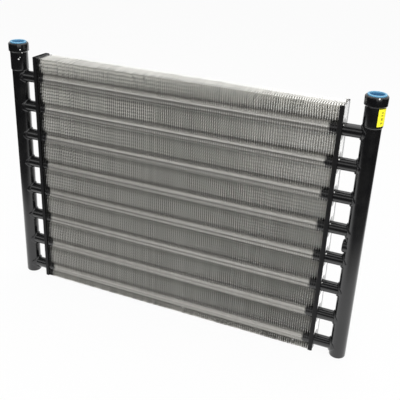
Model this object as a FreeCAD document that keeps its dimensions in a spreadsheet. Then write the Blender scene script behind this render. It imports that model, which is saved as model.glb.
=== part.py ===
import FreeCAD, Part
import os
import Sketcher

# Oil cooler: two upright header pipes joined by a ladder of level round tubes,
# which carry a pack of thin upright fins between two folded end plates.
# Millimetres. X runs from the left header to the right one, Y towards the back, Z up.
# The origin lies on the ground, midway between the two headers' feet.

Vector = FreeCAD.Vector
doc = FreeCAD.newDocument("OilCooler")
sheet = doc.addObject("Spreadsheet::Sheet", "Sizes")

# Driving sizes, in millimetres and degrees
sizes = {
    # Headers and tubes
    "header_spacing": 597,  # distance between the two headers' axes
    "header_od": 26.7,  # outer diameter of a header pipe
    "header_wall": 2.9,  # wall of a header pipe
    "tube_count": 8,  # number of cooling tubes
    "tube_spacing": 52,  # height from one tube to the next
    "lowest_tube_height": 18.5,  # height of the lowest tube's axis above the ground
    "tube_od": 19.05,  # outer diameter of a cooling tube
    "tube_wall": 1.25,  # wall of a cooling tube
    "tube_entry": 1,  # depth of a tube's end inside the header at the tube's sides
    "joint_clearance": 0.05,  # radial clearance of a tube in its holes
    # Header ends
    "cap_height": 5,  # height of a foot cap below the pipe
    "cap_edge": 3,  # rounding of a foot cap's lower edge
    "bevel_share": 0.3,  # where the two bevels of a rounded edge meet, as a share of it
    "port_gap": 0.4,  # from the highest tube up to the port's weld
    "port_wall": 1.3,  # wall of a port body round the header pipe
    "port_height": 29.5,  # height of a port body up to its collar
    "port_socket": 8,  # depth of the socket that takes the header pipe
    "port_step": 1.2,  # width of the step in the port on which the header pipe ends
    "collar_rim": 2,  # width of the collar beyond the port body
    "collar_height": 14,  # height of the collar
    "collar_bevel": 1.6,  # bevel under the collar
    "collar_edge": 2.4,  # rounding of the collar's upper edge
    "port_weld": 2.6,  # height of the weld under a port body
    # Transport plugs
    "plug_rim": 1.4,  # width of a plug's flange beyond the port's bore
    "plug_flange": 2,  # thickness of a plug's flange
    "plug_edge": 1,  # bevel of a plug's flange
    "plug_skirt": 13,  # length of a plug's skirt in the port
    "plug_wall": 1.3,  # wall of a plug
    "plug_clearance": 0.1,  # radial clearance of a plug in its port
    # Fins and end plates
    "left_gap": 21.15,  # from the left header's surface to the left plate
    "right_gap": 26.15,  # from the right header's surface to the right plate
    "plate_thickness": 1.2,  # thickness of an end plate's sheet
    "plate_under": 17.2,  # from the lowest tube's axis down to the plates' lower edge
    "plate_over": 37,  # from the highest tube's axis up to the plates' upper edge
    "plate_lip": 7,  # width of an end plate's folded edges
    "plate_bend": 2.4,  # outer radius of an end plate's folds
    "fin_before": 1.175,  # from the tubes' front to the fins' front edges
    "fin_behind": 16.075,  # from the tubes' back to the fins' back edges
    "fin_inset": 1,  # height of the end plates beyond the fins, above and below
    "fin_spacing": 3.64,  # distance from one fin to the next
    "fin_thickness": 0.4,  # thickness of a fin
    "collar_wall": 0.3,  # metal round the tubes where the fins' collars meet
    "web_front": 2,  # from the tubes' plane to the front of the web between the tubes
    "seat_gap": 0.1,  # gap between the fins and an end plate's sheet
    # Boss and label
    "boss_od": 22,  # diameter of the boss on the right header
    "boss_rise": 3,  # height of the boss above the header's surface
    "boss_bevel": 1.6,  # bevel of the boss's face
    "label_start": 60,  # angle from the X axis to the label's front edge, in degrees
    "label_angle": 98,  # angle that the label covers, in degrees
    "label_thickness": 0.15,  # thickness of the label
    "label_drop": 0.9,  # from the collar down to the label
    "label_margin": 2,  # from the port body's lower edge up to the label
}

for row, (alias, number) in enumerate(sizes.items(), start=1):
    sheet.set("A%d" % row, alias.replace("_", " "))
    sheet.set("B%d" % row, str(number))
    sheet.setAlias("B%d" % row, alias)

doc.recompute()


def named(text):
    """Turn size names in an expression into references to the sheet."""
    words = ""
    word = ""
    for character in text + " ":
        if character.isalnum() or character == "_":
            word += character
            continue
        words += "Sizes." + word if word in sizes else word
        words += character
        word = ""
    return words.strip()


def value(text):
    """The number that an expression of size names gives now."""
    result = sheet.evalExpression(named(text))
    return float(getattr(result, "Value", result))


# Places that several pieces share, as expressions of the sizes
header_radius = "(header_od / 2)"
tube_radius = "(tube_od / 2)"
tube_hole_radius = "(tube_od / 2 + joint_clearance)"
tube_side = "sqrt(%s ^ 2 - %s ^ 2)" % (header_radius, tube_radius)
highest_tube = "(lowest_tube_height + (tube_count - 1) * tube_spacing)"
port_bottom = "(%s + tube_od / 2 + port_gap + port_weld)" % highest_tube
port_top = "(%s + port_height + collar_height)" % port_bottom
header_top = "(%s + port_socket)" % port_bottom
socket_radius = "(header_od / 2 + joint_clearance)"
port_radius = "(header_od / 2 + joint_clearance + port_wall)"
collar_radius = "(header_od / 2 + joint_clearance + port_wall + collar_rim)"
bore_radius = "(header_od / 2 + joint_clearance - port_step)"
plug_radius = "(header_od / 2 + joint_clearance - port_step + plug_rim)"
pack_left = "((header_spacing - header_od) / 2 - left_gap)"
pack_right = "((header_spacing - header_od) / 2 - right_gap)"
core_left = "(%s - plate_thickness - seat_gap)" % pack_left
core_right = "(%s - plate_thickness - seat_gap)" % pack_right
fin_left = "(%s - plate_bend)" % pack_left
fin_right = "(%s - plate_bend)" % pack_right
fin_front = "(tube_od / 2 + fin_before)"
fin_back = "(tube_od / 2 + fin_behind)"
plate_front = "(tube_od / 2 + fin_before + seat_gap + plate_thickness)"
plate_back = "(tube_od / 2 + fin_behind + seat_gap + plate_thickness)"
plate_bottom = "(lowest_tube_height - plate_under)"
plate_top = "(%s + plate_over)" % highest_tube
core_margin = "(tube_od / 2 + joint_clearance + collar_wall)"


def new_body(label):
    body = doc.addObject("PartDesign::Body", label)
    body.Label = label
    return body


def at_header(body, side):
    """Stand a body on a header's axis, with its own +X towards the fins."""
    if side > 0:
        body.Placement.Rotation = FreeCAD.Rotation(Vector(0, 0, 1), 180)
    body.setExpression("Placement.Base.x", named("header_spacing * %d / 2" % side))
    return body


def new_sketch(body, role, name, offset=None):
    """A sketch on one of the body's own origin planes, set off along its normal."""
    sketch = body.newObject("Sketcher::SketchObject", name)
    plane = [item for item in body.Origin.OriginFeatures if item.Role == role][0]
    sketch.AttachmentSupport = [(plane, "")]
    sketch.MapMode = "FlatFace"
    if offset:
        sketch.setExpression("AttachmentOffset.Base.z", named(offset))
    return sketch


def hold(sketch, kind, places, expression):
    """Add one dimension to a sketch and bind it to the sheet."""
    index = sketch.addConstraint(Sketcher.Constraint(kind, *places, value(expression)))
    sketch.setExpression("Constraints[%d]" % index, named(expression))


def place_point(sketch, shape, point, across, up):
    """Hold one point of a sketch at two distances from the sketch's origin."""
    for kind, axis, distance in (("DistanceX", -2, across), ("DistanceY", -1, up)):
        if distance == "0":
            sketch.addConstraint(Sketcher.Constraint("PointOnObject", shape, point, axis))
        else:
            hold(sketch, kind, (-1, 1, shape, point), distance)


def add_circle(sketch, across, up, radius):
    centre = Vector(value(across), value(up), 0)
    circle = sketch.addGeometry(Part.Circle(centre, Vector(0, 0, 1), value(radius)))
    hold(sketch, "Radius", (circle,), radius)
    place_point(sketch, circle, 3, across, up)


def add_outline(sketch, corners):
    """A closed outline of straight lines through corners given as expressions."""
    points = [Vector(value(across), value(up), 0) for across, up in corners]
    lines = []
    for index, start in enumerate(points):
        end = points[(index + 1) % len(points)]
        lines.append(sketch.addGeometry(Part.LineSegment(start, end)))
    for index, line in enumerate(lines):
        following = lines[(index + 1) % len(lines)]
        sketch.addConstraint(Sketcher.Constraint("Coincident", line, 2, following, 1))
    for line, (across, up) in zip(lines, corners):
        place_point(sketch, line, 1, across, up)


def pad(body, sketch, name, length, both_ways=False, reverse=False):
    feature = body.newObject("PartDesign::Pad", name)
    feature.Profile = sketch
    feature.Midplane = both_ways
    feature.Reversed = reverse
    feature.setExpression("Length", named(length))
    return feature


def pocket(body, sketch, name, length, both_ways=False, reverse=False):
    feature = body.newObject("PartDesign::Pocket", name)
    feature.Profile = sketch
    feature.Midplane = both_ways
    feature.Reversed = reverse
    feature.setExpression("Length", named(length))
    return feature


def turn(body, sketch, name):
    feature = body.newObject("PartDesign::Revolution", name)
    feature.Profile = sketch
    feature.ReferenceAxis = (sketch, ["V_Axis"])
    feature.Angle = 360
    return feature


def repeat(body, features, name, sketch, axis, pitch, count):
    """Repeat features in a row along an axis of one of the body's sketches."""
    feature = body.newObject("PartDesign::LinearPattern", name)
    feature.Originals = features
    feature.Direction = (sketch, [axis])
    feature.Mode = "Spacing"
    feature.setExpression("Offset", named(pitch))
    feature.setExpression("Occurrences", named(count))
    body.Tip = feature
    return feature


def edges_where(shape, test):
    """The names of a shape's edges whose middle passes the test."""
    names = []
    for index, edge in enumerate(shape.Edges):
        middle = edge.valueAt((edge.FirstParameter + edge.LastParameter) / 2)
        if test(edge, middle):
            names.append("Edge%d" % (index + 1))
    return names


def round_edges(body, base, name, radius, test):
    """Round the edges of a feature that pass the test."""
    doc.recompute()
    feature = body.newObject("PartDesign::Fillet", name)
    feature.Base = (base, edges_where(base.Shape, test))
    feature.setExpression("Radius", named(radius))
    return feature


nearness = 0.01


def close_to(number, expression):
    return abs(number - value(expression)) < nearness


def make_header(label, side):
    """A header pipe with one round hole for each tube on its inner side."""
    body = at_header(new_body(label), side)
    ring = new_sketch(body, "XY_Plane", "PipeSection", "cap_height")
    add_circle(ring, "0", "0", header_radius)
    add_circle(ring, "0", "0", header_radius + " - header_wall")
    pad(body, ring, "Pipe", header_top + " - cap_height")
    hole = new_sketch(body, "YZ_Plane", "TubeHole")
    add_circle(hole, "0", "lowest_tube_height", tube_hole_radius)
    cut = pocket(body, hole, "TubeHoleCut", "header_od", reverse=True)
    repeat(body, [cut], "TubeHoles", hole, "V_Axis", "tube_spacing", "tube_count")
    return body


def make_tube(label, number):
    """One cooling tube, which ends inside both headers' walls."""
    body = new_body(label)
    ring = new_sketch(body, "YZ_Plane", "TubeSection")
    add_circle(ring, "0", "0", tube_radius)
    add_circle(ring, "0", "0", tube_radius + " - tube_wall")
    length = "header_spacing - 2 * (%s - tube_entry)" % tube_side
    pad(body, ring, "Tube", length, both_ways=True)
    height = "lowest_tube_height + %d * tube_spacing" % number
    body.setExpression("Placement.Base.z", named(height))
    return body


def make_foot_cap(label, side):
    """The closed end of a header, a disc with a lower edge rounded in two bevels."""
    body = at_header(new_body(label), side)
    profile = new_sketch(body, "XZ_Plane", "CapProfile")
    add_outline(profile, [
        ("0", "0"), ("(header_od / 2 - cap_edge)", "0"),
        ("(header_od / 2 - cap_edge * bevel_share)", "(cap_edge * bevel_share)"),
        (header_radius, "cap_edge"), (header_radius, "cap_height"), ("0", "cap_height")])
    turn(body, profile, "Cap")
    return body


def make_port(label, side):
    """A port sleeve, socketed over the header pipe, with a bevelled collar on top."""
    body = at_header(new_body(label), side)
    profile = new_sketch(body, "XZ_Plane", "PortProfile")
    collar_bottom = "(%s + port_height)" % port_bottom
    add_outline(profile, [
        (socket_radius, port_bottom), (port_radius, port_bottom),
        (port_radius, "(%s - collar_bevel)" % collar_bottom), (collar_radius, collar_bottom),
        (collar_radius, "(%s - collar_edge)" % port_top),
        ("(%s - collar_edge * bevel_share)" % collar_radius,
         "(%s - collar_edge * bevel_share)" % port_top),
        ("(%s - collar_edge)" % collar_radius, port_top),
        (bore_radius, port_top), (bore_radius, header_top), (socket_radius, header_top)])
    turn(body, profile, "Sleeve")
    return body


def make_port_weld(label, side):
    """The bead that runs round the header under its port body."""
    body = at_header(new_body(label), side)
    profile = new_sketch(body, "XZ_Plane", "WeldProfile")
    add_outline(profile, [
        (header_radius, "(%s - port_weld)" % port_bottom),
        (port_radius, port_bottom), (header_radius, port_bottom)])
    turn(body, profile, "Weld")
    return body


def make_plug(label, side):
    """A hollow transport plug: a flange on the collar and a cup in the bore."""
    body = at_header(new_body(label), side)
    profile = new_sketch(body, "XZ_Plane", "PlugProfile")
    skirt = "(%s - plug_clearance)" % bore_radius
    inner = "(%s - plug_clearance - plug_wall)" % bore_radius
    top = "(%s + plug_flange)" % port_top
    floor = "(%s - plug_skirt)" % port_top
    add_outline(profile, [
        ("0", floor), (skirt, floor), (skirt, port_top), (plug_radius, port_top),
        (plug_radius, "(%s - plug_edge)" % top), ("(%s - plug_edge)" % plug_radius, top),
        (inner, top), (inner, "(%s + plug_wall)" % floor), ("0", "(%s + plug_wall)" % floor)])
    turn(body, profile, "Plug")
    return body


def make_end_plate(label, side):
    """A folded end plate: a web across the fins' end and lips over front and back."""
    body = new_body(label)
    outer = pack_right if side > 0 else pack_left
    sign = "" if side > 0 else "-1 * "
    face = sign + outer
    inside = sign + "(%s - plate_thickness)" % outer
    lip_end = sign + "(%s - plate_lip)" % outer
    section = new_sketch(body, "XY_Plane", "PlateSection", plate_bottom)
    corners = [
        (face, "-1 * " + plate_front), (face, plate_back),
        (lip_end, plate_back), (lip_end, "(%s - plate_thickness)" % plate_back),
        (inside, "(%s - plate_thickness)" % plate_back),
        (inside, "-1 * (%s - plate_thickness)" % plate_front),
        (lip_end, "-1 * (%s - plate_thickness)" % plate_front),
        (lip_end, "-1 * " + plate_front)]
    add_outline(section, corners)
    height = "%s - %s" % (plate_top, plate_bottom)
    fold = pad(body, section, "FoldedSheet", height)

    def upright_at(places):
        def test(edge, middle):
            upright = edge.Length > value(height) - nearness
            return upright and any(
                close_to(middle.x, x) and close_to(middle.y, y) for x, y in places)
        return test

    outside = round_edges(body, fold, "OuterBends", "plate_bend", upright_at(corners[:2]))
    round_edges(body, outside, "InnerBends", "plate_bend - plate_thickness",
                upright_at(corners[4:6]))

    hole = new_sketch(body, "YZ_Plane", "TubeHole")
    add_circle(hole, "0", "lowest_tube_height", tube_hole_radius)
    cut = pocket(body, hole, "TubeHoleCut", "2 * " + outer, both_ways=True)
    repeat(body, [cut], "TubeHoles", hole, "V_Axis", "tube_spacing", "tube_count")
    return body


def core_corners(bottom, top):
    """The core's outline: flat behind, and in front an eight-sided row for each tube."""
    flank = "(%s * tan(22.5 deg))" % core_margin
    corners = [(core_margin, bottom), (core_margin, top)]
    for number in reversed(range(int(value("tube_count")))):
        axis = "(lowest_tube_height + %d * tube_spacing)" % number
        for across, up in ((flank, "+ " + core_margin), (core_margin, "+ " + flank),
                           (core_margin, "- " + flank), (flank, "- " + core_margin)):
            corners.append(("-1 * " + across, "(%s %s)" % (axis, up)))
        if number > 0:
            below = "(lowest_tube_height + %d * tube_spacing)" % (number - 1)
            corners.append(("-1 * web_front", "(%s - %s)" % (axis, core_margin)))
            corners.append(("-1 * web_front", "(%s + %s)" % (below, core_margin)))
    return corners


def make_fin_stack(label):
    """The fins at their true spacing, on a core that shows each tube's row in front."""
    body = new_body(label)
    section = new_sketch(body, "YZ_Plane", "CoreSection", "-1 * " + core_left)
    bottom = "(lowest_tube_height - %s)" % core_margin
    top = "(%s + %s)" % (highest_tube, core_margin)
    add_outline(section, core_corners(bottom, top))
    pad(body, section, "Core", "%s + %s" % (core_left, core_right))
    hole = new_sketch(body, "YZ_Plane", "TubeHole")
    add_circle(hole, "0", "lowest_tube_height", tube_hole_radius)
    cut = pocket(body, hole, "TubeHoleCut", "2 * " + pack_left, both_ways=True)
    repeat(body, [cut], "TubeHoles", hole, "V_Axis", "tube_spacing", "tube_count")

    fin_bottom = "(%s + fin_inset)" % plate_bottom
    fin_top = "(%s - fin_inset)" % plate_top
    strip_back = "-1 * (%s + joint_clearance)" % core_margin
    root_back = "(%s - collar_wall / 2)" % core_margin
    root_bottom = "(%s + collar_wall / 2)" % bottom
    root_top = "(%s - collar_wall / 2)" % top
    outline = new_sketch(body, "YZ_Plane", "FinOutline", "-1 * " + fin_left)
    add_outline(outline, [
        ("-1 * " + fin_front, fin_bottom), (fin_back, fin_bottom),
        (fin_back, fin_top), ("-1 * " + fin_front, fin_top)])
    add_outline(outline, [
        (strip_back, root_bottom), (root_back, root_bottom),
        (root_back, root_top), (strip_back, root_top)])
    fin = pad(body, outline, "Fin", "fin_thickness")
    count = "floor((%s + %s - fin_thickness) / fin_spacing) + 1" % (fin_left, fin_right)
    repeat(body, [fin], "Fins", outline, "N_Axis", "fin_spacing", count)
    return body


def make_side_boss(label):
    """A bevelled disc on the right header's inner side, at the middle of the tubes."""
    body = at_header(new_body(label), 1)
    disc = new_sketch(body, "YZ_Plane", "BossOutline")
    middle_height = "lowest_tube_height + (tube_count - 1) * tube_spacing / 2"
    add_circle(disc, "0", middle_height, "boss_od / 2")
    boss = pad(body, disc, "Boss", header_radius + " + boss_rise")
    doc.recompute()
    bevel = body.newObject("PartDesign::Chamfer", "FaceBevel")
    bevel.Base = (boss, edges_where(
        boss.Shape, lambda edge, middle: close_to(middle.x, header_radius + " + boss_rise")))
    bevel.setExpression("Size", named("boss_bevel"))
    against = new_sketch(body, "XY_Plane", "HeaderSection")
    add_circle(against, "0", "0", header_radius)
    pocket(body, against, "HeaderCut", header_top, reverse=True)
    return body


def make_label(label):
    """The sticker, a thin sheet wrapped round the front of the right port body."""
    body = doc.addObject("Part::Cut", label)
    body.Label = label
    skin = doc.addObject("Part::Cylinder", "LabelSkin")
    skin.setExpression("Radius", named(port_radius + " + label_thickness"))
    under = doc.addObject("Part::Cylinder", "PortUnderLabel")
    under.setExpression("Radius", named(port_radius))
    height = "port_height - collar_bevel - label_drop - label_margin"
    for cylinder in (skin, under):
        cylinder.setExpression("Height", named(height))
        cylinder.setExpression("Angle", named("label_angle"))
    body.Base = skin
    body.Tool = under
    body.Placement.Rotation = FreeCAD.Rotation(Vector(0, 0, -1), value("label_start"))
    body.setExpression("Placement.Rotation.Angle", named("label_start"))
    body.setExpression("Placement.Base.x", named("header_spacing / 2"))
    body.setExpression("Placement.Base.z", named(port_bottom + " + label_margin"))
    return body


def make_pair(label, maker):
    """Two like pieces, one for each header, kept together as two solids."""
    pair = doc.addObject("Part::Compound", label)
    pair.Label = label
    pair.Links = [maker("left_" + label, -1), maker("right_" + label, 1)]
    return pair


pieces = []
for word, side in (("left", -1), ("right", 1)):
    pieces.append(make_header(word + "_header_pipe", side))
    pieces.append(make_end_plate(word + "_end_plate", side))
pieces.append(make_pair("port_bodies", make_port))
pieces.append(make_pair("port_welds", make_port_weld))
pieces.append(make_pair("port_plugs", make_plug))
pieces.append(make_pair("foot_caps", make_foot_cap))
for number in range(int(value("tube_count"))):
    pieces.append(make_tube("cooling_tube_%d" % (number + 1), number))
pieces.append(make_fin_stack("fin_stack"))
pieces.append(make_side_boss("side_boss"))
pieces.append(make_label("port_label"))

doc.recompute()

for item in doc.Objects:
    if "Invalid" in item.State or "Error" in item.State:
        raise RuntimeError(item.Label + " did not build: " + str(item.State))
for piece in pieces:
    if piece.Shape.isNull() or not piece.Shape.isValid():
        raise RuntimeError(piece.Label + " has no valid shape")

os.makedirs("parts", exist_ok=True)
for piece in pieces:
    piece.Shape.exportStep(os.path.join("parts", piece.Label + ".step"))
    print("%-18s solids %3d  volume %10.1f" % (
        piece.Label, len(piece.Shape.Solids), piece.Shape.Volume))
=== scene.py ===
import math

import bpy
from mathutils import Matrix, Vector


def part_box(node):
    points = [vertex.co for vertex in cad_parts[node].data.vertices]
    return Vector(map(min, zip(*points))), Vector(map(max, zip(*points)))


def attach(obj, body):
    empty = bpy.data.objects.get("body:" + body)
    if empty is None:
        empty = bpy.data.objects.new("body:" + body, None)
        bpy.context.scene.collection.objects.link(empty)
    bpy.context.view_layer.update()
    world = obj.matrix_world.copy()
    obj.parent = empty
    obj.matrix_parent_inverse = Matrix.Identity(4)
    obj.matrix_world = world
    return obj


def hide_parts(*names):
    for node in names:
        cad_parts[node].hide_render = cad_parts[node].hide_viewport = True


# Oil cooler. Metres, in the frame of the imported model:
# X from the left header to the right one, Y towards the back, Z up from the ground.

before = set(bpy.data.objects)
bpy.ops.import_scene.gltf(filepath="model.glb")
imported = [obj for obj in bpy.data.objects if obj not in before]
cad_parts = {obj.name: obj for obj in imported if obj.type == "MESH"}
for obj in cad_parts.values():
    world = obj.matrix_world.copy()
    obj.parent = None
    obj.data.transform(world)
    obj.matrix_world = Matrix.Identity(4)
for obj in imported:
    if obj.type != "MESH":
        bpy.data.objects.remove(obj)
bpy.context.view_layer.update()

MM = 0.001
BODY = "root"

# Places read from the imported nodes
header_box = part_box("right_header_pipe")
port_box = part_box("port_bodies")
plug_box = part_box("port_plugs")
cap_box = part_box("foot_caps")
weld_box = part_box("port_welds")
fins_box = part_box("fin_stack")
right_plate_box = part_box("right_end_plate")
tube_boxes = [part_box("cooling_tube_%d" % number) for number in range(1, 9)]

header_x = (header_box[0].x + header_box[1].x) / 2
header_radius = (header_box[1].x - header_box[0].x) / 2
collar_radius = port_box[1].y
port_radius = weld_box[1].y
plug_radius = plug_box[1].y
tube_radius = (tube_boxes[0][1].z - tube_boxes[0][0].z) / 2
tube_heights = [(low.z + high.z) / 2 for low, high in tube_boxes]
tube_spacing = tube_heights[1] - tube_heights[0]
header_sides = (-header_x, header_x)

# Sizes that only the looks need
fin_spacing = 3.64 * MM
fin_thickness = 0.4 * MM
fin_wave = 2.0 * MM  # sideways bend of a fin before and behind the tubes
lower_fold = 3.1 * MM  # strip folded over along a fin's lower edge
upper_fold = 1.3 * MM  # strip folded over along a fin's upper edge
end_gap = 0.4 * MM  # clearance of the outermost fins
port_bore = 12.2 * MM
port_seat = 8 * MM  # depth of the socket for the header pipe
collar_height = 14 * MM
collar_skin = 0.95 * MM  # the fins' collar on a tube
spray_slope = 0.47  # rise of the spray's path for each step towards the back
bead_size = 1.1 * MM
ripple_length = 5.6 * MM  # height of one ripple on a fin


# ---- Modelling helpers ----

def deselect():
    if bpy.context.object and bpy.context.object.mode != "OBJECT":
        bpy.ops.object.mode_set(mode="OBJECT")
    bpy.ops.object.select_all(action="DESELECT")


def select_only(piece):
    deselect()
    piece.select_set(True)
    bpy.context.view_layer.objects.active = piece


def place_in_mesh(piece):
    """Move the piece's place, turn and size into its mesh."""
    select_only(piece)
    bpy.ops.object.transform_apply(location=True, rotation=True, scale=True)


def add_modifier(piece, kind, **settings):
    """Add one modifier, set it and apply it."""
    select_only(piece)
    modifier = piece.modifiers.new(kind.title(), kind)
    for name, setting in settings.items():
        setattr(modifier, name, setting)
    bpy.ops.object.modifier_apply(modifier=modifier.name)


def join(name, parts):
    """Join like parts into one piece."""
    deselect()
    for part in parts:
        part.select_set(True)
    bpy.context.view_layer.objects.active = parts[0]
    bpy.ops.object.join()
    parts[0].name = name
    parts[0].data.name = name
    return parts[0]


def smooth(piece, degrees=35):
    """Shade a piece smooth where its faces meet at less than an angle."""
    select_only(piece)
    bpy.ops.object.shade_smooth_by_angle(angle=math.radians(degrees))


def turned(x, rings, segments):
    """A round piece on an upright axis, drawn up ring by ring from (radius, height)."""
    deselect()
    radius, height = rings[0]
    bpy.ops.mesh.primitive_circle_add(vertices=segments, radius=radius, location=(x, 0, height))
    piece = bpy.context.object
    bpy.ops.object.mode_set(mode="EDIT")
    bpy.ops.mesh.select_all(action="SELECT")
    for next_radius, next_height in rings[1:]:
        bpy.ops.mesh.extrude_region_move(
            TRANSFORM_OT_translate={"value": (0, 0, next_height - height)})
        share = next_radius / radius
        bpy.ops.transform.resize(value=(share, share, 1), center_override=(x, 0, next_height))
        radius, height = next_radius, next_height
    bpy.ops.mesh.select_all(action="SELECT")
    bpy.ops.mesh.remove_doubles(threshold=0.002 * MM)
    bpy.ops.mesh.normals_make_consistent(inside=False)
    bpy.ops.object.mode_set(mode="OBJECT")
    place_in_mesh(piece)
    return piece


def rounding(radius, height, edge, first, last, steps):
    """Rings round an edge: a quarter circle whose middle is at (radius, height)."""
    rings = []
    for step in range(steps + 1):
        angle = math.radians(first + (last - first) * step / steps)
        rings.append((radius + edge * math.cos(angle), height + edge * math.sin(angle)))
    return rings


def finish_piece(piece, material, slot, *nodes):
    """Give a piece its material, let it ride on the cooler and stand for its nodes."""
    piece.data.materials.clear()
    piece.data.materials.append(material)
    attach(piece, BODY)
    if nodes:
        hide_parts(*nodes)


# ---- Shader helpers ----

class Wire:
    """A socket in a material. Sums on it are written as plain expressions."""

    def __init__(self, paint, socket):
        self.paint = paint
        self.socket = socket

    def maths(self, operation, first, second=0.0):
        return self.paint.node(
            "ShaderNodeMath", {"operation": operation}, {0: first, 1: second})

    def __add__(self, other):
        return self.maths("ADD", self, other)

    def __radd__(self, other):
        return self.maths("ADD", other, self)

    def __sub__(self, other):
        return self.maths("SUBTRACT", self, other)

    def __rsub__(self, other):
        return self.maths("SUBTRACT", other, self)

    def __mul__(self, other):
        return self.maths("MULTIPLY", self, other)

    def __rmul__(self, other):
        return self.maths("MULTIPLY", other, self)

    def __truediv__(self, other):
        return self.maths("DIVIDE", self, other)

    def __gt__(self, other):
        return self.maths("GREATER_THAN", self, other)

    def __lt__(self, other):
        return self.maths("LESS_THAN", self, other)

    def __abs__(self):
        return self.maths("ABSOLUTE", self)

    def larger(self, other):
        return self.maths("MAXIMUM", self, other)

    def smaller(self, other):
        return self.maths("MINIMUM", self, other)

    def sine(self):
        return self.maths("SINE", self)

    def root(self):
        return self.maths("SQRT", self)

    def remainder(self, step):
        return self.maths("FLOORED_MODULO", self, step)

    def whole(self):
        return self.maths("FLOOR", self)


class Paint:
    """One material and its nodes."""

    def __init__(self, name, owner=None):
        if owner is None:
            owner = bpy.data.materials.new(name)
            owner.use_nodes = True
        self.owner = owner
        self.tree = owner.node_tree
        self.tree.nodes.clear()

    def node(self, kind, settings=None, sockets=None, out=0):
        """Add a node, set it, then fill its sockets with values or wires."""
        node = self.tree.nodes.new(kind)
        for name, setting in (settings or {}).items():
            if name == "stops":
                self.set_stops(node.color_ramp, setting)
            else:
                setattr(node, name, setting)
        for key, given in (sockets or {}).items():
            if isinstance(given, Wire):
                self.tree.links.new(given.socket, node.inputs[key])
            else:
                node.inputs[key].default_value = given
        return Wire(self, node.outputs[out])

    @staticmethod
    def set_stops(ramp, stops):
        """Give a ramp its stops, from (place, grey level)."""
        while len(ramp.elements) < len(stops):
            ramp.elements.new(1.0)
        for element, (position, level) in zip(ramp.elements, stops):
            element.position = position
            element.color = (level, level, level, 1.0)

    def place(self):
        """Object coordinates as a vector wire."""
        return self.node("ShaderNodeTexCoord", out="Object")

    def split(self, vector):
        """A vector wire as three numbers."""
        node = self.tree.nodes.new("ShaderNodeSeparateXYZ")
        self.tree.links.new(vector.socket, node.inputs[0])
        return [Wire(self, output) for output in node.outputs]

    def axes(self):
        """Object coordinates as three numbers."""
        return self.split(self.place())

    def rays(self, *kinds):
        """A mask for each kind of ray, 1 where a surface is seen by it."""
        node = self.tree.nodes.new("ShaderNodeLightPath")
        return [Wire(self, node.outputs["Is %s Ray" % kind]) for kind in kinds]

    def stretched(self, x, y, z):
        """Object coordinates scaled along each axis."""
        return self.node("ShaderNodeMapping", None, {
            "Vector": self.place(), "Scale": (x, y, z)})

    def noise(self, scale, detail, roughness=0.5, vector=None):
        return self.node("ShaderNodeTexNoise", None, {
            "Vector": vector or self.place(), "Scale": scale,
            "Detail": detail, "Roughness": roughness})

    def steps(self, wire, *stops):
        """A grey ramp over a wire, as (place, level) stops."""
        return self.node("ShaderNodeValToRGB", {"stops": stops}, {0: wire})

    def soft_edge(self, distance, width):
        """A mask that goes from 0 to 1 where a distance passes 0."""
        return self.steps(distance / width + 0.5, (0.2, 0.0), (0.8, 1.0))

    def mix(self, share, first, second):
        """A colour between two colours."""
        def colour(given):
            return given if isinstance(given, Wire) else tuple(given) + (1.0,)
        return self.node("ShaderNodeMix", {"data_type": "RGBA"}, {
            0: share, 6: colour(first), 7: colour(second)}, out=2)

    def bump(self, height, distance, strength, under=None):
        sockets = {"Height": height, "Distance": distance, "Strength": strength}
        if under:
            sockets["Normal"] = under
        return self.node("ShaderNodeBump", None, sockets)

    def finish(self, **sockets):
        """Close the material with one Principled shader."""
        names = {name.replace("_", " ").title().replace("Ior", "IOR"): given
                 for name, given in sockets.items()}
        for name, given in names.items():
            if name == "Base Color" and not isinstance(given, Wire):
                names[name] = tuple(given) + (1.0,)
        shader = self.node("ShaderNodeBsdfPrincipled", None, names)
        self.node_output(shader)
        return self.owner

    def node_output(self, shader, kind="ShaderNodeOutputMaterial"):
        """Send a shader to the material's output."""
        output = self.tree.nodes.new(kind)
        self.tree.links.new(shader.socket, output.inputs["Surface"])


# ---- Materials ----

black = (0.0045, 0.0045, 0.005)
dusty_black = (0.014, 0.014, 0.013)


def pipe_paint_material():
    """Gloss black paint with a fine orange peel, thin dust and a few dull patches."""
    paint = Paint("pipe_paint")
    patches = paint.steps(paint.noise(38.0, 5.0, 0.62), (0.42, 0.0), (0.72, 1.0))
    colour = paint.mix(patches * 0.35, black, dusty_black)
    dull = 0.1 + paint.noise(120.0, 4.0, 0.6) * 0.08 + patches * 0.08
    peel = paint.bump(paint.noise(650.0, 2.0), 0.06 * MM, 0.05)
    lumps = paint.bump(paint.noise(90.0, 2.0), 0.2 * MM, 0.25, peel)
    return paint.finish(base_color=colour, roughness=dull, normal=lumps)


def above_tube(height):
    """Height over the nearest tube's axis, below it negative."""
    start = tube_heights[0] - tube_spacing / 2
    return (height - start).remainder(tube_spacing) - tube_spacing / 2


def off_row(deep, up):
    """Distance from a tube's row as it is seen and sprayed from above in front."""
    return abs(above_tube(up + deep.smaller(0) * spray_slope))


def share_across(across):
    """Place along the fins, from 0 at the left end to 1 at the right one."""
    return (across - fins_box[0].x) / (fins_box[1].x - fins_box[0].x)


def share_up(up):
    """Height on the fins, from 0 at their lower edge to 1 at their upper one."""
    return (up - fins_box[0].z) / (fins_box[1].z - fins_box[0].z)


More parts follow.
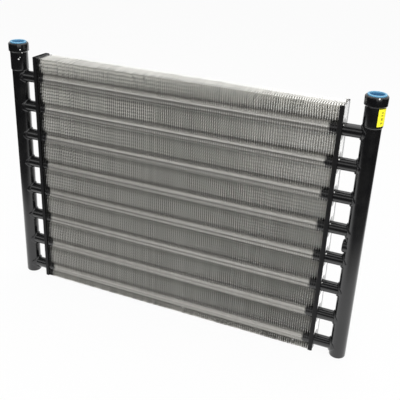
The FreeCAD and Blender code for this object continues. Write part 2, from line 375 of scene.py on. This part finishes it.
def overspray(paint, reach_left, reach_right, reach_at_tubes):
    """Where black paint has drifted onto the fins, from 0 to 1."""
    across, deep, up = paint.axes()
    from_left = across - fins_box[0].x
    from_right = fins_box[1].x - across
    at_tube = paint.steps(off_row(deep, up) / (14 * MM), (0.46, 1.0), (0.78, 0.0))
    ragged = (paint.noise(210.0, 3.0, 0.6) - 0.5) * (9 * MM)
    on_right = across > 0
    reach = reach_left + on_right * (reach_right - reach_left)
    near = from_left + on_right * (from_right - from_left)
    edge = reach + at_tube * (reach_at_tubes - reach) + ragged
    return paint.steps((edge - near) / (5 * MM) + 0.5, (0.1, 0.0), (0.9, 1.0))


def fin_material():
    """Thin rolled aluminium: fine ripples, a tone for each fin, black drift at the ends and dust,
    with painted shade in the ripples' hollows, in the gaps at the top, in bands beside the tubes
    and towards the bottom, and painted light at the top and upper right.
    """
    paint = Paint("fins")
    across, deep, up = paint.axes()
    fin_number = ((across - fins_box[0].x) / fin_spacing + 0.5).whole()
    own_tone = paint.node("ShaderNodeTexWhiteNoise", {"noise_dimensions": "1D"}, {
        "W": fin_number})
    rolled = paint.noise(1.0, 4.0, 0.6, paint.stretched(60, 60, 9))
    tone = own_tone * 0.6 + rolled * 0.4
    metal = paint.mix(tone, (0.62, 0.61, 0.57), (0.98, 0.97, 0.92))
    ripple = (up * (2 * math.pi / ripple_length) + paint.noise(12.0, 2.0) * 5.0
              + own_tone * 1.6).sine()
    # Painted shade: the ripples' low parts are darkened in the colour.
    ripple_hollow_shade = paint.steps(ripple * 0.5 + 0.5, (0.08, 0.7), (0.45, 0.0))
    # Painted shade: dark vertical streaks near the top stand in for the shaded gaps between the
    # fins.
    at_top = paint.steps((fins_box[1].z - up) / (30 * MM), (0.05, 0.0), (0.15, 1.0),
                         (0.8, 1.0), (1.0, 0.0))
    top_gap_shade = at_top * paint.steps(
        paint.noise(1.0, 2.0, 0.5, paint.stretched(620, 1, 60)), (0.55, 0.0), (0.68, 0.7))
    # Painted shade: darker bands on the fins just above and below each tube, where they meet the
    # collars.
    painted_row_shade = paint.steps(
        abs(above_tube(up)) / (20 * MM), (0.36, 0.0), (0.5, 0.42), (0.6, 0.3), (0.78, 0.0))
    above_bottom = paint.steps((up - fins_box[0].z) / (12 * MM), (0.55, 0.0), (0.9, 1.0))
    painted_row_shade = painted_row_shade * above_bottom

    # Painted shade darkens the fins towards the bottom; dust lies at the left, with one stain in
    # the middle
    painted_low_shade = paint.steps(share_up(up), (0.0, 0.2), (0.85, 0.0))
    left_dust = (paint.steps(share_across(across), (0.0, 0.26), (0.8, 0.0))
                 * paint.steps(share_up(up), (0.6, 1.0), (0.85, 0.1)))
    stain = paint.steps(abs(across - 15 * MM) / (18 * MM), (0.2, 0.16), (1.0, 0.0))
    dust_and_shade = painted_low_shade.larger(left_dust).larger(stain)

    # Painted light makes the fins lighter at the upper right; they are dull where they cross a
    # tube's row
    before_tube = off_row(deep, up) < 10.5 * MM
    painted_light_upper_right = (paint.steps(share_across(across), (0.6, 0.0), (0.95, 1.0))
             * paint.steps(share_up(up), (0.3, 0.0), (0.8, 1.0)) * (1 - before_tube))
    dull_edge = before_tube * (deep < fins_box[0].y + 5 * MM) * 0.25
    # Dull edges, dust and painted shade darken the metal towards this grey-brown.
    undarkened = ((1 - dull_edge) * (1 - ripple_hollow_shade * (1 - painted_light_upper_right * 0.5)) * (1 - painted_row_shade)
            * (1 - dust_and_shade) * (1 - top_gap_shade))
    metal = paint.mix(1 - undarkened, metal, (0.10, 0.095, 0.08))
    between_tubes = abs(above_tube(up)) > 12.5 * MM
    # Painted light: near the top and at the upper right the fins are mixed towards near-white.
    painted_top_light = paint.steps((fins_box[1].z - up) / (34 * MM), (0.2, 1.0), (1.0, 0.0))
    metal = paint.mix((painted_top_light * 0.5).larger(painted_light_upper_right * 0.8) * undarkened, metal, (1.0, 0.99, 0.95))
    # The front edges between the tubes are mixed towards near-white: bright cut edges, raised
    # further as painted light at the upper right and held back where painted shade lies.
    cut_edge_and_light = ((deep < fins_box[0].y + 0.7 * MM) * between_tubes * (1 - before_tube)
               * (1 - painted_row_shade * 1.8).larger(0) * (1 - ripple_hollow_shade)
               * (0.4 + own_tone * 0.5).larger(painted_light_upper_right))
    metal = paint.mix(cut_edge_and_light, metal, (0.95, 0.94, 0.90))
    lower = paint.steps(share_up(up), (0.3, 1.0), (0.7, 0.0))
    drift = overspray(paint, 13 * MM, 1 * MM + lower * (5 * MM), 18 * MM)
    colour = paint.mix(drift, metal, dusty_black)
    surface = paint.bump(ripple, 0.35 * MM, 0.8)
    surface = paint.bump(paint.noise(500.0, 2.0), 0.05 * MM, 0.4, surface)
    return paint.finish(
        base_color=colour, metallic=(1 - drift) * (0.28 - painted_light_upper_right * 0.26),
        roughness=0.46 - drift * 0.1, normal=surface)


def fin_collar_material():
    """The fins' drawn collars round the tubes, bright and slightly ringed, with painted shade
    below and above each tube and a painted highlight band a little above its middle.
    """
    paint = Paint("fin_collars")
    across, up = paint.axes()[::2]
    drift = overspray(paint, 14 * MM, 18 * MM, 18 * MM)
    worn = paint.noise(1.0, 4.0, 0.6, paint.stretched(140, 30, 30))
    metal = paint.mix(worn, (0.42, 0.41, 0.385), (0.58, 0.57, 0.54))
    # Painted shade on the collars below and above each tube's middle, with a painted highlight
    # band just above it.
    painted_row_shade = paint.steps(above_tube(up) / (24 * MM) + 0.5, (0.10, 0.85), (0.30, 0.75),
                          (0.36, 0.6), (0.48, 0.6), (0.56, 0.78), (0.62, 0.06), (0.75, 0.06),
                          (0.81, 0.3), (0.9, 0.35))
    metal = paint.mix(painted_row_shade, metal, (0.06, 0.058, 0.05))
    colour = paint.mix(drift, metal, black)
    rings = ((across - fins_box[0].x) * (2 * math.pi / fin_spacing)).sine()
    surface = paint.bump(rings, 0.1 * MM, 0.3)
    return paint.finish(
        base_color=colour, metallic=(1 - drift) * 0.8, roughness=0.4 - drift * 0.15,
        normal=surface)


def plate_material():
    """Bright sheet with black paint over its folds and round the tubes."""
    paint = Paint("plate_paint")
    across, deep, up = paint.axes()
    row = above_tube(up)
    round_tube = (row * row + deep * deep).root()
    ragged = (paint.noise(140.0, 4.0, 0.62) - 0.5) * (7 * MM)
    near_tube = paint.soft_edge(16 * MM + ragged - round_tube, 4 * MM)

    # Distance from the middle of the sheet, to its folds and to its ends
    folds = paint.soft_edge(abs(deep - 7.5 * MM) - 17.6 * MM + ragged * 0.15, 1 * MM)
    ends = paint.soft_edge(abs(up - 210 * MM) - 205.5 * MM, 2 * MM)

    on_right = across > 0
    front_lip = deep < -8 * MM
    hidden_fold = (deep > 20 * MM) * on_right * (across < right_plate_box[1].x - 3.6 * MM)
    dusted_lip = front_lip * on_right * (across < right_plate_box[1].x - 4.4 * MM)
    back_drift = on_right * paint.steps(
        (deep - 15 * MM + ragged * 0.6) / (3 * MM) + 0.5, (0.1, 0.0), (0.9, 1.0))
    folds = folds.larger(back_drift) * (1 - hidden_fold)
    painted = near_tube.larger(folds).larger(ends * (1 - on_right))
    rolled = paint.noise(1.0, 4.0, 0.6, paint.stretched(40, 40, 400))
    sheet = paint.mix(rolled, (0.78, 0.78, 0.77), (0.90, 0.90, 0.89))
    colour = paint.mix(painted, sheet, black)
    colour = paint.mix(dusted_lip * 0.9, colour, (0.006, 0.006, 0.006))
    dents = paint.bump(paint.noise(24.0, 2.0), 1.2 * MM, 0.12)
    return paint.finish(
        base_color=colour, metallic=(1 - painted.larger(dusted_lip)) * 0.7,
        specular_ior_level=0.2, roughness=0.3 - painted * 0.1 + front_lip * 0.4,
        normal=dents)


def plug_material():
    """Blue moulded plastic, with painted light making its top flange paler."""
    paint = Paint("plug_plastic")
    up = paint.axes()[2]
    # Painted light: the top of the flange is mixed towards a paler blue.
    painted_flange_light = paint.steps((up - (port_box[1].z - 1 * MM)) / (2 * MM), (0.3, 0.0), (0.8, 1.0))
    scuffs = paint.noise(300.0, 4.0, 0.65)
    body = paint.mix(scuffs, (0.035, 0.15, 0.31), (0.055, 0.20, 0.38))
    colour = paint.mix(painted_flange_light, body, (0.13, 0.36, 0.55))
    grain = paint.bump(paint.noise(900.0, 2.0), 0.05 * MM, 0.2)
    return paint.finish(
        base_color=colour, roughness=0.28 + scuffs * 0.12, normal=grain)


def label_material():
    """Yellow film with a column of plain dark bars."""
    paint = Paint("label_film")
    deep, up = paint.axes()[1:]
    label_low, label_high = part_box("port_label")
    height = label_high.z - label_low.z
    place = (up - label_low.z) / height
    column = (paint.steps(deep / (10 * MM) + 1.0, (0.0, 0.0), (0.02, 1.0))
              * paint.steps(deep / (10 * MM) + 1.0, (0.3, 1.0), (0.32, 0.0)))
    bars = sum((place > low) * (place < high)
               for low, high in ((0.16, 0.25), (0.36, 0.50), (0.60, 0.68), (0.76, 0.84)))
    printed = bars * column * 0.75
    film = paint.mix(paint.noise(260.0, 3.0), (0.93, 0.83, 0.012), (0.98, 0.92, 0.03))
    colour = paint.mix(printed, film, (0.16, 0.10, 0.02))
    wrinkles = paint.bump(paint.noise(160.0, 3.0), 0.1 * MM, 0.3)
    return paint.finish(base_color=colour, roughness=0.38, normal=wrinkles)


def weld_material():
    """Painted weld: the pipes' paint over a lumpy bead."""
    paint = Paint("weld_paint")
    spots = paint.steps(paint.noise(420.0, 3.0, 0.6), (0.55, 0.0), (0.75, 1.0))
    colour = paint.mix(spots * 0.4, black, (0.05, 0.05, 0.05))
    surface = paint.bump(paint.noise(320.0, 3.0), 0.35 * MM, 0.7)
    return paint.finish(base_color=colour, roughness=0.2, normal=surface)


def spatter_glint_material():
    """Near-white metal of the beads splashed by the welding, coloured as painted highlights that
    stand in for glints.
    """
    paint = Paint("weld_spatter_glints")
    shade = paint.noise(900.0, 2.0)
    colour = paint.mix(shade, (0.80, 0.80, 0.78), (0.97, 0.97, 0.95))
    grain = paint.bump(paint.noise(1400.0, 2.0), 0.05 * MM, 0.3)
    return paint.finish(base_color=colour, metallic=0.3, roughness=0.22 + shade * 0.1,
                        normal=grain)


# ---- Header ends ----

def make_port(x):
    """A port sleeve with a rounded collar."""
    low, high = port_box[0].z, port_box[1].z
    collar_low = high - collar_height
    edge = 2.4 * MM
    small = 0.8 * MM
    rings = [(header_radius + 0.05 * MM, low)]
    rings += rounding(port_radius - small, low + small, small, -90, 0, 3)
    rings += [(port_radius, collar_low - 1.6 * MM)]
    rings += rounding(collar_radius - small, collar_low + small, small, -60, 0, 3)
    rings += rounding(collar_radius - edge, high - edge, edge, 0, 90, 6)
    rings += rounding(port_bore + small, high - small, small, 90, 180, 3)
    rings += [(port_bore, low + port_seat), (header_radius + 0.05 * MM, low + port_seat),
              (header_radius + 0.05 * MM, low)]
    return turned(x, rings, 72)


def make_plug(x):
    """A blue plug: a rounded flange on the collar and a cup in the bore."""
    high = plug_box[1].z
    floor = plug_box[0].z
    flange = 2 * MM
    skirt = port_bore - 0.1 * MM
    inner = skirt - 1.3 * MM
    edge = 0.9 * MM
    rings = [(0.5 * MM, floor), (skirt, floor), (skirt, high - flange),
             (plug_radius, high - flange)]
    rings += rounding(plug_radius - edge, high - edge, edge, 0, 90, 4)
    rings += rounding(inner + 0.6 * MM, high - 0.6 * MM, 0.6 * MM, 90, 180, 3)
    rings += [(inner, floor + 2.2 * MM), (inner - 0.9 * MM, floor + 1.3 * MM),
              (0.5 * MM, floor + 1.3 * MM), (0.5 * MM, floor)]
    return turned(x, rings, 64)


def make_port_weld(x):
    """The lumpy bead under a port body."""
    low, high = weld_box[0].z, weld_box[1].z
    middle = (header_radius + port_radius) / 2
    size = (port_radius - header_radius) / 2
    rings = [(header_radius, low), (header_radius + size * 1.1, low + (high - low) * 0.3),
             (port_radius - 0.1 * MM, low + (high - low) * 0.65), (port_radius, high),
             (middle, high), (header_radius, high), (header_radius, low)]
    return turned(x, rings, 72)


def make_foot(x):
    """The closed lower end of a header, with a rounded edge."""
    edge = 3 * MM
    rings = [(0.8 * MM, cap_box[0].z)]
    rings += rounding(header_radius - edge, cap_box[0].z + edge, edge, -90, 0, 6)
    rings += [(header_radius, cap_box[1].z), (0.8 * MM, cap_box[1].z), (0.8 * MM, cap_box[0].z)]
    return turned(x, rings, 64)


# ---- Fins ----

def fold_edge(fin, height, width):
    """Fold a narrow strip towards the next fin along the fin's edge at this height."""
    select_only(fin)
    bpy.ops.object.mode_set(mode="EDIT")
    bpy.ops.mesh.select_mode(type="VERT")
    bpy.ops.mesh.select_all(action="DESELECT")
    bpy.ops.object.mode_set(mode="OBJECT")
    for vertex in fin.data.vertices:
        vertex.select = abs(vertex.co.z - height) < 0.01 * MM
    bpy.ops.object.mode_set(mode="EDIT")
    bpy.ops.mesh.extrude_edges_move(TRANSFORM_OT_translate={"value": (width, 0, 0)})
    bpy.ops.object.mode_set(mode="OBJECT")


def make_fins():
    """All the fins: one thin plate, repeated along the tubes and bent a little."""
    low, high = fins_box
    first = low.x + 1.1 * MM
    last = right_plate_box[1].x - 2.4 * MM
    beside_tube = 11 * MM
    between_tubes = 26 * MM
    rows = sorted([low.z, high.z] + [
        height + rise for height in tube_heights
        for rise in (-beside_tube, beside_tube, between_tubes)])
    deselect()
    bpy.ops.mesh.primitive_grid_add(
        x_subdivisions=len(rows) - 1, y_subdivisions=3, size=1,
        location=(first, (low.y + high.y) / 2, (low.z + high.z) / 2),
        rotation=(0, math.pi / 2, 0))
    fins = bpy.context.object
    fins.scale = (high.z - low.z, high.y - low.y, 1)
    place_in_mesh(fins)
    row_step = (high.z - low.z) / (len(rows) - 1)
    for vertex in fins.data.vertices:
        vertex.co.z = rows[round((vertex.co.z - low.z) / row_step)]
        if low.y + 1 * MM < vertex.co.y < high.y - 1 * MM:
            vertex.co.x += fin_wave if vertex.co.y > (low.y + high.y) / 2 else -fin_wave
    fold_edge(fins, low.z, lower_fold)
    fold_edge(fins, high.z, upper_fold)
    count = int((last - first) / fin_spacing) + 1
    add_modifier(fins, "ARRAY", count=count, use_relative_offset=False,
                 use_constant_offset=True, constant_offset_displace=(fin_spacing, 0, 0))
    free = fins.vertex_groups.new(name="free_edges")
    for vertex in fins.data.vertices:
        above = vertex.co.z - tube_heights[-1]
        to_tube = min(abs(vertex.co.z - height) for height in tube_heights)
        looseness = max(0.0, to_tube - beside_tube) / (15 * MM) * 0.5
        if above > 0:
            looseness = min(1.0, max(0.0, above - beside_tube) / (20 * MM))
        edge = 1.0 if vertex.co.y < low.y + 1 * MM or vertex.co.y > high.y - 1 * MM else 0.35
        free.add([vertex.index], looseness * edge, "REPLACE")
    for name, scale, strength in (
            ("long_bends", 28 * MM, 5 * MM), ("short_bends", 9 * MM, 2.4 * MM)):
        bends = bpy.data.textures.new(name, "CLOUDS")
        bends.noise_scale = scale
        bends.noise_depth = 1
        add_modifier(fins, "DISPLACE", texture=bends, direction="X", texture_coords="LOCAL",
                     strength=strength, mid_level=0.5, vertex_group="free_edges")
    for vertex in fins.data.vertices:
        vertex.co.x = max(low.x + end_gap, min(vertex.co.x, high.x - end_gap))
    add_modifier(fins, "SOLIDIFY", thickness=fin_thickness, offset=0.0)
    fins.name = "fins"
    return fins


def make_fin_collars():
    """The collars that join the fins round each tube, as one ringed sleeve a tube."""
    sleeves = []
    length = fins_box[1].x - fins_box[0].x
    middle = (fins_box[1].x + fins_box[0].x) / 2
    for height in tube_heights:
        deselect()
        bpy.ops.mesh.primitive_cylinder_add(
            vertices=48, radius=tube_radius + collar_skin, depth=length,
            end_fill_type="NOTHING", location=(middle, 0, height),
            rotation=(0, math.pi / 2, 0))
        sleeve = bpy.context.object
        place_in_mesh(sleeve)
        sleeves.append(sleeve)
    collars = join("fin_collars", sleeves)
    add_modifier(collars, "SOLIDIFY", thickness=0.3 * MM, offset=-1.0)
    return collars


# ---- Welds ----

def make_tube_weld(side, height, bead):
    """A bead along the line where a tube enters its header."""
    deselect()
    bpy.ops.mesh.primitive_torus_add(
        major_segments=48, minor_segments=12, major_radius=tube_radius + bead * 0.2,
        minor_radius=bead, location=(0, 0, 0), rotation=(0, math.pi / 2, 0))
    weld = bpy.context.object
    place_in_mesh(weld)
    for vertex in weld.data.vertices:
        beside = min(abs(vertex.co.y), header_radius * 0.98)
        surface = math.sqrt(header_radius ** 2 - beside ** 2)
        vertex.co.x = side * (header_x - surface - vertex.co.x * 0.9)
        vertex.co.z += height
    return weld


def make_tube_welds():
    """All the beads at the headers, a little lumpy, the lowest ones larger."""
    welds = []
    for side in (-1, 1):
        for number, height in enumerate(tube_heights):
            welds.append(make_tube_weld(side, height, 3.0 * MM if number == 0 else 2.3 * MM))
    piece = join("tube_welds", welds)
    select_only(piece)
    bpy.ops.object.mode_set(mode="EDIT")
    bpy.ops.mesh.select_all(action="SELECT")
    bpy.ops.mesh.normals_make_consistent(inside=False)
    bpy.ops.object.mode_set(mode="OBJECT")
    lumps = bpy.data.textures.new("weld_lumps", "CLOUDS")
    lumps.noise_scale = 6 * MM
    add_modifier(piece, "DISPLACE", texture=lumps, texture_coords="LOCAL",
                 strength=1.2 * MM, mid_level=0.5)
    return piece


def make_spatter_glints():
    """Small near-white beads splashed by the welding, placed as painted highlights: on the ports,
    where tubes meet the plate and two among the fins' front edges.
    """
    places = []
    for x, radius, angle, height in (
            (-header_x, collar_radius, -45, 429), (-header_x, port_radius, -33, 424),
            (-header_x, port_radius, -48, 416), (-header_x, port_radius, -57, 413),
            (header_x, collar_radius - 0.5 * MM, -68, 437)):
        turn = math.radians(angle)
        places.append((x + radius * math.cos(turn), radius * math.sin(turn), height * MM))
    for height in tube_heights[2:]:
        places.append((right_plate_box[1].x + 0.6 * MM, -0.62 * tube_radius,
                       height + 0.80 * tube_radius))
    for across, height in ((225.4, 12.1), (23.7, 12.6)):
        places.append((across * MM, fins_box[0].y + 1.3 * MM, height * MM))
    beads = []
    for number, place in enumerate(places):
        deselect()
        bpy.ops.mesh.primitive_ico_sphere_add(
            subdivisions=3, radius=bead_size + 0.3 * MM * math.sin(2.3 * number),
            location=place)
        place_in_mesh(bpy.context.object)
        beads.append(bpy.context.object)
    return join("weld_spatter_glints", beads)


# ---- The cooler ----

pipe_paint = pipe_paint_material()
weld_paint = weld_material()
for name in ["left_header_pipe", "right_header_pipe", "side_boss"] + [
        "cooling_tube_%d" % number for number in range(1, 9)]:
    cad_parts[name].material_slots[0].material = pipe_paint

plate_paint = plate_material()
for name in ("left_end_plate", "right_end_plate"):
    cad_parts[name].material_slots[0].material = plate_paint

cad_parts["port_label"].material_slots[0].material = label_material()

ports = join("ports", [make_port(x) for x in header_sides])
smooth(ports)
finish_piece(ports, pipe_paint, "pipe_paint", "port_bodies")

plugs = join("plugs", [make_plug(x) for x in header_sides])
smooth(plugs)
finish_piece(plugs, plug_material(), "plug_plastic", "port_plugs")

collar_welds = join("collar_welds", [make_port_weld(x) for x in header_sides])
smooth(collar_welds, 60)
finish_piece(collar_welds, weld_paint, "pipe_paint", "port_welds")

feet = join("feet", [make_foot(x) for x in header_sides])
smooth(feet)
finish_piece(feet, pipe_paint, "pipe_paint", "foot_caps")

tube_welds = make_tube_welds()
smooth(tube_welds, 80)
finish_piece(tube_welds, weld_paint, "pipe_paint")

# Painted highlights: near-white beads stand in for glints.
spatter_glints = make_spatter_glints()
smooth(spatter_glints, 60)
finish_piece(spatter_glints, spatter_glint_material(), "fins")

fins = make_fins()
finish_piece(fins, fin_material(), "fins", "fin_stack")

fin_collars = make_fin_collars()
smooth(fin_collars)
finish_piece(fin_collars, fin_collar_material(), "fins")


# ---- Floor, light and camera ----

def make_floor():
    """White paper that keeps the shadow and is seen in gloss only near the cooler."""
    deselect()
    bpy.ops.mesh.primitive_plane_add(size=12, location=(0, 0, -0.2 * MM))
    floor = bpy.context.object
    floor.name = "floor"
    paint = Paint("floor_paper")
    across, deep = paint.axes()[:2]
    seen, glossy, clear = paint.rays("Camera", "Glossy", "Transmission")
    diffuse = paint.node("ShaderNodeBsdfDiffuse", None, {"Color": (0.82, 0.82, 0.82, 1.0)})
    glow = paint.node("ShaderNodeEmission", None, {"Color": (1, 1, 1, 1), "Strength": 1.0})
    share = seen.larger(clear) * 0.93
    shader = paint.node("ShaderNodeMixShader", None, {0: share, 1: diffuse, 2: glow})
    beside = (abs(across) - 0.33).larger(0)
    ahead = (-1 * deep).larger(0)
    away = (beside * beside + ahead * ahead).root()
    near = paint.steps(away, (0.22, 1.0), (0.44, 0.1), (0.8, 0.02))
    sheen = paint.node("ShaderNodeEmission", None, {"Color": (1, 1, 1, 1), "Strength": near * 1.6})
    shader = paint.node("ShaderNodeMixShader", None, {0: glossy, 1: shader, 2: sheen})
    paint.node_output(shader)
    floor.data.materials.append(paint.owner)


def light_world():
    """Plain light all round, with white paper behind the cooler."""
    world = bpy.data.worlds.new("studio")
    bpy.context.scene.world = world
    world.use_nodes = True
    paint = Paint("studio", world)
    seen, glossy, clear = paint.rays("Camera", "Glossy", "Transmission")
    backwards = paint.split(paint.node("ShaderNodeTexCoord", out="Generated"))[1]
    behind = paint.steps(backwards * 0.5 + 0.5, (0.3, 0.0), (0.5, 1.0))
    white = seen.larger(clear).larger(glossy * behind)
    plain = paint.node("ShaderNodeBackground", None, {"Color": (1, 1, 1, 1), "Strength": 0.55})
    room = paint.node("ShaderNodeBackground", None, {"Color": (1, 1, 1, 1), "Strength": 0.12})
    paper = paint.node("ShaderNodeBackground", None, {"Color": (1, 1, 1, 1), "Strength": 1.0})
    shader = paint.node("ShaderNodeMixShader", None, {0: glossy, 1: plain, 2: room})
    shader = paint.node("ShaderNodeMixShader", None, {0: white, 1: shader, 2: paper})
    paint.node_output(shader, "ShaderNodeOutputWorld")


def add_lamp(name, place, aim, size, watts):
    """A large soft lamp."""
    lamp = bpy.data.lights.new(name, "AREA")
    lamp.shape = "RECTANGLE"
    lamp.size, lamp.size_y = size
    lamp.energy = watts
    holder = bpy.data.objects.new(name, lamp)
    bpy.context.scene.collection.objects.link(holder)
    holder.location = place
    holder.rotation_euler = (Vector(aim) - Vector(place)).to_track_quat("-Z", "Y").to_euler()


def add_camera():
    """The photograph's view: turned left, looking down, with a small roll."""
    turn, down, roll = math.radians(-22.489), math.radians(25.017), math.radians(2.565)
    ahead = Vector((math.sin(turn) * math.cos(down), math.cos(turn) * math.cos(down),
                    -math.sin(down)))
    level = Vector((math.cos(turn), -math.sin(turn), 0))
    above = level.cross(ahead)
    right = level * math.cos(roll) + above * math.sin(roll)
    upward = above * math.cos(roll) - level * math.sin(roll)
    lens = bpy.data.cameras.new("camera")
    lens.sensor_width = 36.0
    lens.lens = 60.436
    lens.clip_start = 0.01
    holder = bpy.data.objects.new("camera", lens)
    bpy.context.scene.collection.objects.link(holder)
    turned_frame = Matrix((right, upward, -ahead)).transposed().to_4x4()
    holder.matrix_world = Matrix.Translation((0.42376, -0.91883, 0.68669)) @ turned_frame
    bpy.context.scene.camera = holder


make_floor()
light_world()
add_lamp("top_light", (0.1, 0.2, 1.9), (0, 0, 0.3), (2.4, 2.0), 22)
add_lamp("left_light", (-0.8, -1.5, 1.05), (0, 0, 0.2), (2.0, 0.7), 6)
add_lamp("right_light", (1.3, -1.6, 1.0), (0, 0, 0.2), (2.2, 2.2), 28)
add_camera()
bpy.context.scene.view_settings.view_transform = "Standard"
